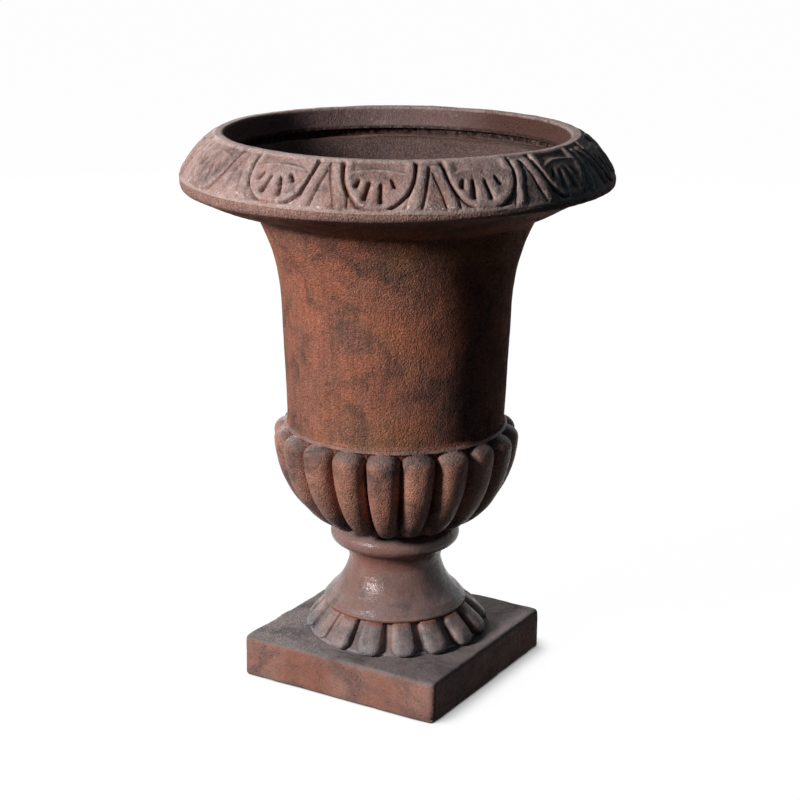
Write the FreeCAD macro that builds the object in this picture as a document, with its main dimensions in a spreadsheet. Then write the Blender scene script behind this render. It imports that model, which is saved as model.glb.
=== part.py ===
import FreeCAD, Part
import Sketcher
import math
import os
import re

doc = FreeCAD.newDocument("goblet_planter")
sheet = doc.addObject("Spreadsheet::Sheet", "Sizes")

# Lengths in millimetres, angles in degrees
SIZES = {
    # Joints between the mouldings
    "joint_clearance": 0.6,
    "bed_depth": 3.0,
    "bed_clearance": 0.2,
    "cut_overrun": 20.0,
    # Plinth
    "plinth_side": 243.0,
    "plinth_height": 47.0,
    "plinth_wall": 18.0,
    "plinth_roof": 16.0,
    "plinth_edge_round": 3.5,
    "plinth_corner_swell": 3.0,
    "plinth_bed_margin": 4.4,
    "plinth_bed_width": 11.0,
    # Foot ring
    "foot_height": 31.0,
    "foot_bore_radius": 56.0,
    "foot_spigot_wall": 14.0,
    "foot_spigot_depth": 12.0,
    "foot_bed_margin": 5.0,
    "foot_bed_width": 8.0,
    "foot_slope_run": 22.0,
    "foot_base_edge": 4.0,
    "petal_count": 16,
    "petal_phase": 14.5,
    "petal_fill_share": 0.93,
    "petal_depth_share": 0.7,
    "petal_relief": 7.0,
    # Socle
    "socle_height": 90.0,
    "socle_overhang": 5.0,
    "socle_base_edge": 4.0,
    "socle_skirt_inset": 6.0,
    "socle_skirt_rise": 6.5,
    "socle_waist_radius": 50.8,
    "socle_waist_drop": 20.0,
    "socle_trumpet_bend": 66.0,
    "socle_neck_swell": 4.7,
    "socle_neck_drop": 5.0,
    "socle_neck_bend": 26.0,
    "socle_tongue_depth": 10.0,
    "socle_tongue_wall": 10.0,
    "collar_roll": 10.5,
    "collar_swell": 9.9,
    "socket_depth": 38.0,
    "socle_hollow_height": 20.0,
    # Seat between pedestal and vase
    "gasket_margin": 9.4,
    "gasket_width": 18.0,
    "gasket_thickness": 2.5,
    # Bowl
    "bowl_height": 116.0,
    "bowl_seat_radius": 62.0,
    "bowl_turn_run": 4.0,
    "bowl_turn_rise": 7.0,
    "bowl_shoulder_swell": 4.0,
    "bowl_shoulder_drop": 12.0,
    "bowl_bend": 118.0,
    "bowl_bead": 2.2,
    "bowl_bead_drop": 3.0,
    "bowl_mouth_depth": 15.0,
    "bowl_floor_radius": 44.0,
    "bowl_floor_height": 20.0,
    "bowl_floor_fall": 4.0,
    "bowl_hollow_bend": 106.0,
    "spigot_radius": 28.0,
    "spigot_length": 28.0,
    "drain_radius": 12.0,
    "lobe_count": 20,
    "lobe_phase": 6.9,
    "lobe_fill_share": 0.95,
    "lobe_depth_share": 0.75,
    "lobe_centre_radius": 35.6,
    "lobe_centre_drop": 20.3,
    "lobe_relief": 11.3,
    "lobe_dip": 1.0,
    "lobe_top_angle": 12.0,
    "lobe_bottom_angle": -66.0,
    # Drum
    "drum_height": 289.5,
    "drum_foot_radius": 117.0,
    "drum_wall": 14.0,
    "drum_seat_width": 8.0,
    "drum_bed_margin": 2.4,
    "drum_bed_width": 4.0,
    "drum_tongue_depth": 10.0,
    "drum_taper": 6.2,
    "drum_flare_drop": 151.0,
    "drum_flare_bend": 209.0,
    "drum_neck_flare": 25.8,
    "drum_neck_drop": 62.0,
    "drum_funnel_bend": 250.0,
    "flange_radius": 228.0,
    "flange_edge_height": 3.0,
    "flange_roll": 7.0,
    "flange_roll_run": 6.5,
    "flange_roll_rise": 6.0,
    # Rim
    "ledge_step": 21.0,
    "ledge_cover": 32.0,
    "ledge_width": 26.0,
    "ledge_show": 11.0,
    "rim_bed_margin": 6.4,
    "rim_bed_width": 13.0,
    "rim_height": 24.0,
    "rim_wall_lean": 1.5,
    "lip_round": 3.0,
    "lip_width": 6.0,
    "frieze_edge": 1.5,
    "frieze_bend": 90.0,
    "frieze_low_share": 0.9,
    "frieze_high_share": 0.9,
    "frieze_sink": 2.8,
    "frieze_proud": 0.4,
    "frieze_root": 11.0,
    "frieze_count": 13,
    "frieze_phase": 19.2,
    "frieze_top_reach": 26.0,
    "frieze_foot_reach": 24.5,
    "shield_radius": 31.0,
    "shield_straight": 19.0,
    "rib_width": 8.0,
    "rib_top_offset": 43.0,
    "rib_foot_offset": 37.0,
}

for row, (name, number) in enumerate(SIZES.items(), start=1):
    sheet.set(f"A{row}", name)
    sheet.set(f"B{row}", str(number))
    sheet.setAlias(f"B{row}", name)
doc.recompute()

# Levels of the seats, from the floor up
FOOT_LEVEL = "plinth_height"
SOCLE_LEVEL = FOOT_LEVEL + " + foot_height"
GASKET_LEVEL = SOCLE_LEVEL + " + socle_height"
BOWL_LEVEL = GASKET_LEVEL + " + gasket_thickness"
DRUM_LEVEL = BOWL_LEVEL + " + bowl_height"
RIM_LEVEL = DRUM_LEVEL + " + drum_height"

# Radii that mating pieces share
FOOT_SPIGOT = "(foot_bore_radius + foot_spigot_wall)"
PLINTH_BED = f"({FOOT_SPIGOT} + joint_clearance + plinth_bed_margin)"
FOOT_BED = "(foot_bore_radius + foot_bed_margin)"
FOOT_TOP = f"({FOOT_BED} + foot_bed_width + foot_bed_margin)"
SOCLE_BASE = f"({FOOT_TOP} + socle_overhang)"
SOCLE_TONGUE = "(foot_bore_radius - joint_clearance)"
SOCKET = "(spigot_radius + joint_clearance)"
BOWL_MOUTH = "(drum_foot_radius - drum_seat_width)"
DRUM_BED = f"({BOWL_MOUTH} + drum_bed_margin)"
LEDGE_STEP = "(flange_radius - ledge_cover)"
LEDGE_INNER = f"({LEDGE_STEP} - ledge_width)"
RIM_BED = f"({LEDGE_STEP} + joint_clearance + rim_bed_margin)"
RIM_INNER = f"({LEDGE_INNER} + ledge_show)"

# Stations along one gadroon: sweep, crest and width
LOBE_SHARES = [
    (0.00, 0.86, 0.30),
    (0.06, 0.95, 0.70),
    (0.17, 1.00, 0.97),
    (0.38, 1.00, 1.00),
    (0.62, 1.00, 1.00),
    (0.82, 1.00, 1.00),
    (0.94, 0.98, 0.86),
    (1.00, 0.90, 0.50),
]

# Stations along one petal: slope, relief and width
PETAL_SHARES = [
    (-0.25, 0.8, 0.92),
    (0.30, 1.0, 1.00),
    (0.75, 1.0, 1.00),
    (0.98, 0.8, 0.90),
    (1.12, -0.2, 0.60),
]


def value(terms):
    """Number that a sum of named sizes comes to."""
    return float(sheet.evalExpression(terms))


def bound(terms):
    """The same sum as an expression for another object."""
    functions = ("sin", "cos", "asin", "atan", "sqrt")

    def prefixed(match):
        word = match.group(0)
        return word if word in functions else "Sizes." + word

    return re.sub(r"[a-z_]+", prefixed, terms)


def new_body(label, level="0", phase="0"):
    """Piece on its own seat level, turned about the upright axis by its phase."""
    body = doc.addObject("PartDesign::Body", label)
    body.Label = label
    body.setExpression("Placement.Base.z", bound(level))
    body.setExpression("Placement.Rotation.Angle", bound(phase))
    return body


def origin_item(body, role):
    return [item for item in body.Origin.OriginFeatures if item.Role == role][0]


def new_sketch(body, name, role):
    sketch = body.newObject("Sketcher::SketchObject", name)
    sketch.AttachmentSupport = [(origin_item(body, role), "")]
    sketch.MapMode = "FlatFace"
    return sketch


def bind(sketch, kind, places, terms):
    """Dimension of a sketch that follows the sheet."""
    index = sketch.addConstraint(Sketcher.Constraint(kind, *places, value(terms)))
    sketch.setExpression(f"Constraints[{index}]", bound(terms))


def place_point(sketch, edge, end, across, up):
    if across == "0":
        sketch.addConstraint(Sketcher.Constraint("PointOnObject", edge, end, -2))
    else:
        bind(sketch, "DistanceX", (-1, 1, edge, end), across)
    if up == "0":
        sketch.addConstraint(Sketcher.Constraint("PointOnObject", edge, end, -1))
    else:
        bind(sketch, "DistanceY", (-1, 1, edge, end), up)


def arc_between(start, end, radius, turn):
    """Minor arc; turn is 1 where it bends to the left on its way, -1 to the right."""
    chord = end - start
    rise = math.sqrt(radius ** 2 - (chord.Length / 2) ** 2)
    centre = (start + end) / 2 + FreeCAD.Vector(-chord.y, chord.x, 0).normalize() * rise * turn
    first, last = (start, end) if turn > 0 else (end, start)
    angles = [math.atan2(point.y - centre.y, point.x - centre.x) for point in (first, last)]
    circle = Part.Circle(centre, FreeCAD.Vector(0, 0, 1), radius)
    return Part.ArcOfCircle(circle, *angles)


def outline(sketch, corners):
    """Closed outline. A corner is (across, up); with a bend and a turn too, an arc leads to it."""
    points = [FreeCAD.Vector(value(corner[0]), value(corner[1]), 0) for corner in corners]
    edges = []
    for index, corner in enumerate(corners):
        start = points[index - 1]
        end = points[index]
        if len(corner) == 2:
            edge = sketch.addGeometry(Part.LineSegment(start, end))
            edges.append((edge, 1, 2))
        else:
            edge = sketch.addGeometry(arc_between(start, end, value(corner[2]), corner[3]))
            edges.append((edge, 1, 2) if corner[3] > 0 else (edge, 2, 1))
    for index, corner in enumerate(corners):
        edge, first, last = edges[index]
        following = edges[(index + 1) % len(edges)]
        sketch.addConstraint(
            Sketcher.Constraint("Coincident", edge, last, following[0], following[1]))
        place_point(sketch, edge, last, corner[0], corner[1])
        if len(corner) > 2:
            bind(sketch, "Radius", (edge,), corner[2])


def circle_in(sketch, radius):
    edge = sketch.addGeometry(
        Part.Circle(FreeCAD.Vector(0, 0, 0), FreeCAD.Vector(0, 0, 1), value(radius)))
    sketch.addConstraint(Sketcher.Constraint("Coincident", edge, 3, -1, 1))
    bind(sketch, "Radius", (edge,), radius)


def ellipse_in(sketch, half_depth, half_width):
    """Ellipse about the origin, the wider way along the sketch's second axis."""
    wide = FreeCAD.Vector(0, value(half_width), 0)
    deep = FreeCAD.Vector(-value(half_depth), 0, 0)
    edge = sketch.addGeometry(Part.Ellipse(wide, deep, FreeCAD.Vector(0, 0, 0)))
    sketch.exposeInternalGeometry(edge)
    sketch.addConstraint(Sketcher.Constraint("Coincident", edge, 3, -1, 1))
    sketch.addConstraint(Sketcher.Constraint("Vertical", edge + 1))
    bind(sketch, "Distance", (edge + 1,), "2 * " + half_width)
    bind(sketch, "Distance", (edge + 2,), "2 * " + half_depth)


def square_in(sketch, side):
    """Square of four lines about the origin."""
    half = f"({side}) / 2"
    less = f"-({side}) / 2"
    outline(sketch, [(half, less), (half, half), (less, half), (less, less)])


def tilt(sketch, across, up, lean):
    """Moves a sketch out along X and up, and leans it about Y."""
    sketch.AttachmentOffset = FreeCAD.Placement(
        FreeCAD.Vector(value(across), 0, value(up)),
        FreeCAD.Rotation(FreeCAD.Vector(0, 1, 0), value(lean)))
    sketch.setExpression("AttachmentOffset.Base.x", bound(across))
    sketch.setExpression("AttachmentOffset.Base.z", bound(up))
    sketch.setExpression("AttachmentOffset.Rotation.Angle", bound(lean))


def turned(body, name, corners, kind="PartDesign::Revolution"):
    """Outline in the half plane, turned once round the upright axis; a Groove takes it away."""
    before = body.Tip.Shape.Volume if body.Tip else 0
    sketch = new_sketch(body, name + "_outline", "XZ_Plane")
    outline(sketch, corners)
    feature = body.newObject(kind, name)
    feature.Profile = sketch
    feature.ReferenceAxis = (sketch, ["V_Axis"])
    feature.Angle = 360.0
    body.Tip = feature
    doc.recompute()
    if kind == "PartDesign::Groove" and feature.Shape.Volume >= before:
        raise RuntimeError(f"{name} took nothing away")
    return feature


def padded(body, name, sketch, length):
    pad = body.newObject("PartDesign::Pad", name)
    pad.Profile = sketch
    pad.setExpression("Length", bound(length))
    body.Tip = pad
    doc.recompute()
    return pad


def pocketed(body, name, sketch, level, depth):
    """Pocket that runs down from a level."""
    before = body.Tip.Shape.Volume
    sketch.setExpression("AttachmentOffset.Base.z", bound(level))
    pocket = body.newObject("PartDesign::Pocket", name)
    pocket.Profile = sketch
    pocket.setExpression("Length", bound(depth))
    body.Tip = pocket
    doc.recompute()
    if pocket.Shape.Volume >= before:
        raise RuntimeError(f"{name} took nothing away")
    return pocket


def rounded(body, name, picked, radius):
    """Fillet on the edges that the test picks."""
    base = body.Tip
    edges = [f"Edge{index}" for index, edge in enumerate(base.Shape.Edges, start=1) if picked(edge)]
    fillet = body.newObject("PartDesign::Fillet", name)
    fillet.Base = (base, edges)
    fillet.setExpression("Radius", bound(radius))
    body.Tip = fillet
    doc.recompute()
    return fillet


def lofted(body, name, stations):
    """Rounded rib. A station is (radius from axis, height, lean, half depth, half width)."""
    sections = []
    for index, (across, up, lean, half_depth, half_width) in enumerate(stations):
        sketch = new_sketch(body, f"{name}_section_{index}", "XY_Plane")
        ellipse_in(sketch, half_depth, half_width)
        tilt(sketch, across, up, lean)
        sections.append(sketch)
    doc.recompute()
    rib = body.newObject("PartDesign::AdditiveLoft", name)
    rib.Profile = sections[0]
    rib.Sections = sections[1:]
    body.Tip = rib
    doc.recompute()
    return rib


def ringed(body, feature, count):
    """Copies of a feature evenly round the upright axis."""
    pattern = body.newObject("PartDesign::PolarPattern", feature.Name + "_ring")
    pattern.Originals = [feature]
    pattern.Axis = (origin_item(body, "Z_Axis"), [""])
    pattern.Angle = 360.0
    pattern.setExpression("Occurrences", bound(count))
    body.Tip = pattern
    doc.recompute()
    return pattern


def bed_ring(label, inner, width, level):
    """Ring of bonding mix that fills the groove sunk below a seat."""
    body = new_body(label, level)
    turned(body, label + "_ring", [
        (inner + " + bed_clearance", "-bed_depth"),
        (f"{inner} + {width} - bed_clearance", "-bed_depth"),
        (f"{inner} + {width} - bed_clearance", "0"),
        (inner + " + bed_clearance", "0"),
    ])
    return body


def bed_groove(inner, width, level):
    """Corners of that groove, met from the outside in along the seat."""
    return [
        (f"{inner} + {width}", level),
        (f"{inner} + {width}", level + " - bed_depth"),
        (inner, level + " - bed_depth"),
        (inner, level),
    ]


def is_upright(edge):
    box = edge.BoundBox
    return box.ZLength > max(box.XLength, box.YLength)


# Plinth: a slab, hollow from below, with the seat of the foot ring on top
plinth = new_body("plinth")
slab_sketch = new_sketch(plinth, "slab_outline", "XY_Plane")
square_in(slab_sketch, "plinth_side")
padded(plinth, "slab", slab_sketch, "plinth_height")
rounded(plinth, "slab_corners", is_upright, "plinth_edge_round + plinth_corner_swell")
rounded(plinth, "slab_edges", lambda edge: not is_upright(edge), "plinth_edge_round")

hollow_sketch = new_sketch(plinth, "hollow_outline", "XY_Plane")
square_in(hollow_sketch, "plinth_side - 2 * plinth_wall")
HOLLOW_TOP = "plinth_height - plinth_roof"
pocketed(plinth, "hollow", hollow_sketch, HOLLOW_TOP, HOLLOW_TOP)

hole_sketch = new_sketch(plinth, "hole_outline", "XY_Plane")
circle_in(hole_sketch, FOOT_SPIGOT + " + joint_clearance")
pocketed(plinth, "hole", hole_sketch, "plinth_height", "plinth_roof")

bed_sketch = new_sketch(plinth, "bed_outline", "XY_Plane")
circle_in(bed_sketch, PLINTH_BED)
circle_in(bed_sketch, PLINTH_BED + " + plinth_bed_width")
pocketed(plinth, "bed", bed_sketch, "plinth_height", "bed_depth")

plinth_bedding = bed_ring("plinth_bedding", PLINTH_BED, "plinth_bed_width", FOOT_LEVEL)

# Foot ring: a turned core with a ring of petals on its slope
foot_ring = new_body("foot_ring", FOOT_LEVEL, "petal_phase")
FOOT_BASE = f"({FOOT_TOP} + foot_slope_run)"
turned(foot_ring, "foot_core", [
    ("foot_bore_radius", "-foot_spigot_depth"),
    (FOOT_SPIGOT, "-foot_spigot_depth"),
    (FOOT_SPIGOT, "0"),
    (FOOT_BASE, "0"),
    (FOOT_BASE, "foot_base_edge"),
    (FOOT_TOP, "foot_height"),
    ("foot_bore_radius", "foot_height"),
])
SLOPE_RISE = "(foot_height - foot_base_edge)"
SLOPE_LEAN = f"atan(foot_slope_run / {SLOPE_RISE})"
petal_stations = []
for along_share, relief_share, width_share in PETAL_SHARES:
    slope_radius = f"({FOOT_TOP} + {along_share} * foot_slope_run)"
    slope_height = f"(foot_height - {along_share} * {SLOPE_RISE})"
    half_width = f"({width_share} * petal_fill_share * {slope_radius} * sin(180 / petal_count))"
    half_depth = f"(petal_depth_share * {half_width})"
    inset = f"({half_depth} - {relief_share} * petal_relief)"
    petal_stations.append((
        f"{slope_radius} - {inset} * cos({SLOPE_LEAN})",
        f"{slope_height} - {inset} * sin({SLOPE_LEAN})",
        f"-{SLOPE_LEAN}",
        half_depth,
        half_width,
    ))
petal = lofted(foot_ring, "petal", petal_stations)
ringed(foot_ring, petal, "petal_count")
turned(foot_ring, "petal_tops", [
    ("foot_bore_radius", "foot_height"),
    ("foot_bore_radius", "foot_height + cut_overrun"),
    (FOOT_BASE + " + cut_overrun", "foot_height + cut_overrun"),
    (FOOT_BASE + " + cut_overrun", "foot_height"),
    *bed_groove(FOOT_BED, "foot_bed_width", "foot_height"),
], "PartDesign::Groove")
turned(foot_ring, "petal_bottoms", [
    (FOOT_SPIGOT, "-cut_overrun"),
    (FOOT_BASE + " + cut_overrun", "-cut_overrun"),
    (FOOT_BASE + " + cut_overrun", "0"),
    (FOOT_SPIGOT, "0"),
], "PartDesign::Groove")

foot_bedding = bed_ring("foot_bedding", FOOT_BED, "foot_bed_width", SOCLE_LEVEL)

# Socle: trumpet, waist and collar, hollow, with the socket for the vase
socle = new_body("socle", SOCLE_LEVEL)
COLLAR_BOTTOM = "(socle_height - 2 * collar_roll)"
COLLAR_INNER = "(socle_waist_radius + collar_swell)"
turned(socle, "socle_shell", [
    (SOCLE_TONGUE + " - socle_tongue_wall", "-socle_tongue_depth"),
    (SOCLE_TONGUE, "-socle_tongue_depth"),
    (SOCLE_TONGUE, "0"),
    (SOCLE_BASE, "0"),
    (SOCLE_BASE, "socle_base_edge"),
    (SOCLE_BASE + " - socle_skirt_inset", "socle_base_edge + socle_skirt_rise"),
    ("socle_waist_radius", COLLAR_BOTTOM + " - socle_waist_drop", "socle_trumpet_bend", -1),
    ("socle_waist_radius + socle_neck_swell", COLLAR_BOTTOM + " - socle_neck_drop",
     "socle_neck_bend", -1),
    (COLLAR_INNER, COLLAR_BOTTOM),
    (COLLAR_INNER + " + collar_roll", "socle_height - collar_roll", "collar_roll", 1),
    (COLLAR_INNER, "socle_height", "collar_roll", 1),
    (SOCKET, "socle_height"),
    (SOCKET, "socle_height - socket_depth"),
    (SOCLE_TONGUE + " - socle_tongue_wall", "socle_hollow_height"),
])

seat_gasket = new_body("seat_gasket", GASKET_LEVEL)
GASKET_INNER = f"({SOCKET} + gasket_margin)"
turned(seat_gasket, "gasket_ring", [
    (GASKET_INNER, "0"),
    (GASKET_INNER + " + gasket_width", "0"),
    (GASKET_INNER + " + gasket_width", "gasket_thickness"),
    (GASKET_INNER, "gasket_thickness"),
])

# Bowl: a turned cup with a drain spigot and a ring of gadroons
bowl = new_body("bowl", BOWL_LEVEL, "lobe_phase")
BOWL_SHOULDER = "(drum_foot_radius + bowl_shoulder_swell)"
turned(bowl, "bowl_core", [
    ("drain_radius", "-spigot_length"),
    ("spigot_radius", "-spigot_length"),
    ("spigot_radius", "0"),
    ("bowl_seat_radius", "0"),
    ("bowl_seat_radius + bowl_turn_run", "bowl_turn_rise"),
    (BOWL_SHOULDER, "bowl_height - bowl_shoulder_drop", "bowl_bend", 1),
    (BOWL_SHOULDER, "bowl_height - bowl_bead_drop"),
    ("drum_foot_radius + bowl_bead", "bowl_height"),
    *bed_groove(DRUM_BED, "drum_bed_width", "bowl_height"),
    ("drain_radius", "bowl_height"),
])
LOBE_OUT = f"({BOWL_SHOULDER} + lobe_relief - lobe_centre_radius)"
LOBE_CENTRE = "(bowl_height - lobe_centre_drop)"
LOBE_DOWN = f"({LOBE_CENTRE} + lobe_dip)"
lobe_stations = []
for along_share, crest_share, width_share in LOBE_SHARES:
    angle = f"(lobe_top_angle + {along_share} * (lobe_bottom_angle - lobe_top_angle))"
    crest_radius = f"(lobe_centre_radius + {crest_share} * {LOBE_OUT} * cos({angle}))"
    lobe_upright = LOBE_OUT if value(angle) > 0 else LOBE_DOWN
    crest_height = f"({LOBE_CENTRE} + {crest_share} * {lobe_upright} * sin({angle}))"
    half_width = f"({width_share} * lobe_fill_share * {crest_radius} * sin(180 / lobe_count))"
    half_depth = f"(lobe_depth_share * {half_width})"
    lobe_stations.append((
        f"{crest_radius} - {half_depth} * cos({angle})",
        f"{crest_height} - {half_depth} * sin({angle})",
        f"-{angle}",
        half_depth,
        half_width,
    ))
lobe = lofted(bowl, "lobe", lobe_stations)
ringed(bowl, lobe, "lobe_count")
turned(bowl, "bowl_hollow", [
    ("0", "bowl_floor_height - bowl_floor_fall"),
    ("bowl_floor_radius", "bowl_floor_height"),
    (BOWL_MOUTH, "bowl_height - bowl_mouth_depth", "bowl_hollow_bend", 1),
    (BOWL_MOUTH, "bowl_height"),
    ("0", "bowl_height"),
], "PartDesign::Groove")

drum_bedding = bed_ring("drum_bedding", DRUM_BED, "drum_bed_width", DRUM_LEVEL)

# Drum: plain shell that flares into the flange under the rim
drum = new_body("drum", DRUM_LEVEL)
FLARE_RADIUS = "(drum_foot_radius + drum_taper)"
SHELF = "(drum_height - ledge_step)"
turned(drum, "drum_shell", [
    ("drum_foot_radius - drum_wall", "-drum_tongue_depth"),
    (BOWL_MOUTH + " - joint_clearance", "-drum_tongue_depth"),
    (BOWL_MOUTH + " - joint_clearance", "0"),
    ("drum_foot_radius", "0"),
    (FLARE_RADIUS, "drum_height - drum_flare_drop"),
    (FLARE_RADIUS + " + drum_neck_flare", "drum_height - drum_neck_drop", "drum_flare_bend", -1),
    ("flange_radius - flange_roll_run", SHELF + " - flange_edge_height - flange_roll_rise"),
    ("flange_radius", SHELF + " - flange_edge_height", "flange_roll", 1),
    ("flange_radius", SHELF),
    *bed_groove(RIM_BED, "rim_bed_width", SHELF),
    (LEDGE_STEP, SHELF),
    (LEDGE_STEP, "drum_height"),
    (LEDGE_INNER, "drum_height"),
    (FLARE_RADIUS + " + drum_neck_flare - drum_wall",
     "drum_height - drum_neck_drop + drum_wall / 2", "drum_funnel_bend", 1),
    (FLARE_RADIUS + " - drum_wall", "drum_height - drum_flare_drop",
     "drum_flare_bend + drum_wall", 1),
])

rim_bedding = bed_ring("rim_bedding", RIM_BED, "rim_bed_width", RIM_LEVEL + " - ledge_step")

# Rim: coping that steps over the flange, with shields and slanted ribs in a sunk field
rim = new_body("rim", RIM_LEVEL, "frieze_phase")
FRIEZE_BOTTOM = "(frieze_edge - ledge_step)"
LIP_OUTER = f"({RIM_INNER} + lip_round + lip_width)"
FRIEZE_RUN = f"(flange_radius - {LIP_OUTER})"
FRIEZE_RISE = f"(rim_height - {FRIEZE_BOTTOM})"
FRIEZE_CHORD = f"sqrt({FRIEZE_RUN} ^ 2 + {FRIEZE_RISE} ^ 2)"
FRIEZE_DEPTH = f"sqrt(frieze_bend ^ 2 - ({FRIEZE_CHORD} / 2) ^ 2)"
FRIEZE_CENTRE = (
    f"((flange_radius + {LIP_OUTER}) / 2 - {FRIEZE_DEPTH} * {FRIEZE_RISE} / {FRIEZE_CHORD})",
    f"((rim_height + {FRIEZE_BOTTOM}) / 2 - {FRIEZE_DEPTH} * {FRIEZE_RUN} / {FRIEZE_CHORD})",
)
FRIEZE_MIDDLE = f"atan({FRIEZE_RUN} / {FRIEZE_RISE})"
FRIEZE_SPREAD = f"asin({FRIEZE_CHORD} / 2 / frieze_bend)"
FRIEZE_LOW = f"({FRIEZE_MIDDLE} - frieze_low_share * {FRIEZE_SPREAD})"
FRIEZE_HIGH = f"({FRIEZE_MIDDLE} + frieze_high_share * {FRIEZE_SPREAD})"


def frieze_corner(bend, angle):
    """Place on a curve concentric with the frieze, at an angle above the level."""
    return (f"{FRIEZE_CENTRE[0]} + ({bend}) * cos({angle})",
            f"{FRIEZE_CENTRE[1]} + ({bend}) * sin({angle})")


turned(rim, "coping", [
    (RIM_INNER + " - rim_wall_lean", "0"),
    (LEDGE_STEP + " + joint_clearance", "0"),
    (LEDGE_STEP + " + joint_clearance", "-ledge_step"),
    ("flange_radius", "-ledge_step"),
    ("flange_radius", FRIEZE_BOTTOM),
    (LIP_OUTER, "rim_height", "frieze_bend", 1),
    (RIM_INNER + " + lip_round", "rim_height"),
    (RIM_INNER, "rim_height - lip_round", "lip_round", 1),
])
turned(rim, "frieze_field", [
    (*frieze_corner("frieze_bend - frieze_sink", FRIEZE_LOW), "frieze_bend - frieze_sink", -1),
    frieze_corner("frieze_bend + cut_overrun", FRIEZE_LOW),
    frieze_corner("frieze_bend + cut_overrun", FRIEZE_HIGH),
    frieze_corner("frieze_bend - frieze_sink", FRIEZE_HIGH),
], "PartDesign::Groove")
frieze_sketch = new_sketch(rim, "frieze_outline", "XY_Plane")
SHIELD_TURN = "(shield_straight - frieze_top_reach)"
outline(frieze_sketch, [
    ("-frieze_top_reach", "-shield_radius"),
    (SHIELD_TURN, "-shield_radius"),
    (SHIELD_TURN + " + shield_radius", "0", "shield_radius", 1),
    (SHIELD_TURN, "shield_radius", "shield_radius", 1),
    ("-frieze_top_reach", "shield_radius"),
])
for side in (1, -1):
    outline(frieze_sketch, [
        ("-frieze_top_reach", f"{side} * (rib_top_offset - rib_width / 2)"),
        ("frieze_foot_reach", f"{side} * (rib_foot_offset - rib_width / 2)"),
        ("frieze_foot_reach", f"{side} * (rib_foot_offset + rib_width / 2)"),
        ("-frieze_top_reach", f"{side} * (rib_top_offset + rib_width / 2)"),
    ])
tilt(
    frieze_sketch,
    *frieze_corner("frieze_bend - frieze_root", FRIEZE_MIDDLE),
    f"atan({FRIEZE_RISE} / {FRIEZE_RUN})")
frieze_unit = padded(rim, "frieze_unit", frieze_sketch, "frieze_root + cut_overrun / 2")
ringed(rim, frieze_unit, "frieze_count")
FRIEZE_CREST = "frieze_bend + frieze_proud"
FRIEZE_ENDS = [f"({FRIEZE_MIDDLE} {sign} {FRIEZE_SPREAD})" for sign in ("-", "+")]
turned(rim, "frieze_crest", [
    (*frieze_corner(FRIEZE_CREST, FRIEZE_ENDS[0]), FRIEZE_CREST, -1),
    frieze_corner("frieze_bend + cut_overrun", FRIEZE_ENDS[0]),
    frieze_corner("frieze_bend + 2 * cut_overrun", FRIEZE_MIDDLE),
    frieze_corner("frieze_bend + cut_overrun", FRIEZE_ENDS[1]),
    frieze_corner(FRIEZE_CREST, FRIEZE_ENDS[1]),
], "PartDesign::Groove")

doc.recompute()
PIECES = [
    plinth, plinth_bedding, foot_ring, foot_bedding, socle, seat_gasket,
    bowl, drum_bedding, drum, rim_bedding, rim,
]
for item in doc.Objects:
    if "Invalid" in item.State or "Error" in item.State:
        raise RuntimeError(f"{item.Name} did not build: {item.State}")
for piece in PIECES:
    shape = piece.Shape
    if shape.isNull() or not shape.isValid() or len(shape.Solids) != 1:
        raise RuntimeError(f"{piece.Label} is not one sound solid")
os.makedirs("parts", exist_ok=True)
for piece in PIECES:
    piece.Shape.exportStep(f"parts/{piece.Label}.step")
    print(f"{piece.Label}: {piece.Shape.Volume:.1f} cubic millimetres")
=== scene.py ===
"""Looks of a goblet planter: a moulded fibre-clay urn, rust-brown and worn, on a square plinth.

Sizes are in millimetres and angles in degrees until a mesh is made; MM turns them into metres.
"""
import math

import bpy
import numpy as np
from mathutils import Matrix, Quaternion, Vector


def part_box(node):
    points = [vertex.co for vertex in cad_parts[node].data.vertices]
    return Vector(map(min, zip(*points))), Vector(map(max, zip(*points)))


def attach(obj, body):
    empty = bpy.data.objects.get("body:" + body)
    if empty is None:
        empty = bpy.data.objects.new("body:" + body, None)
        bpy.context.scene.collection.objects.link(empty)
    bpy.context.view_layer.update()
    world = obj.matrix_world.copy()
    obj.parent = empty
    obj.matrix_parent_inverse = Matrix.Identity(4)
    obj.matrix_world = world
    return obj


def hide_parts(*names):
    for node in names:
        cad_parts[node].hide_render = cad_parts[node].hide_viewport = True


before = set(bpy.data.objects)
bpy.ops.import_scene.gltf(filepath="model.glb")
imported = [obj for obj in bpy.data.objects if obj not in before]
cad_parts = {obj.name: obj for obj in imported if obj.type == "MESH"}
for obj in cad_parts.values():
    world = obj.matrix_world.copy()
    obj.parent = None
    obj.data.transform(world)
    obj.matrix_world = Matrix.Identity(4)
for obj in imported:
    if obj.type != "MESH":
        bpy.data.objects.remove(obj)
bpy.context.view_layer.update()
MM = 0.001


def top(node):
    """Height of a CAD node's highest point, in millimetres."""
    return round(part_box(node)[1].z / MM, 2)


def reach(node):
    """Distance of a CAD node's outermost point from the upright axis along X, in millimetres."""
    return round(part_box(node)[1].x / MM, 1)


# Seats between the pieces, from the floor up
PLINTH_TOP = top("plinth")
FOOT_TOP = top("foot_ring")
SOCLE_TOP = top("socle")
BOWL_SEAT = top("seat_gasket")
BOWL_TOP = top("bowl")
DRUM_TOP = top("drum")
RIM_TOP = top("rim")
SHELF = top("rim_bedding")
BED_DEPTH = 3.0

# Mesh steps
FINE = 1.1
MEDIUM = 1.5
PLAIN = 2.0
COARSE = 5.0

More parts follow.
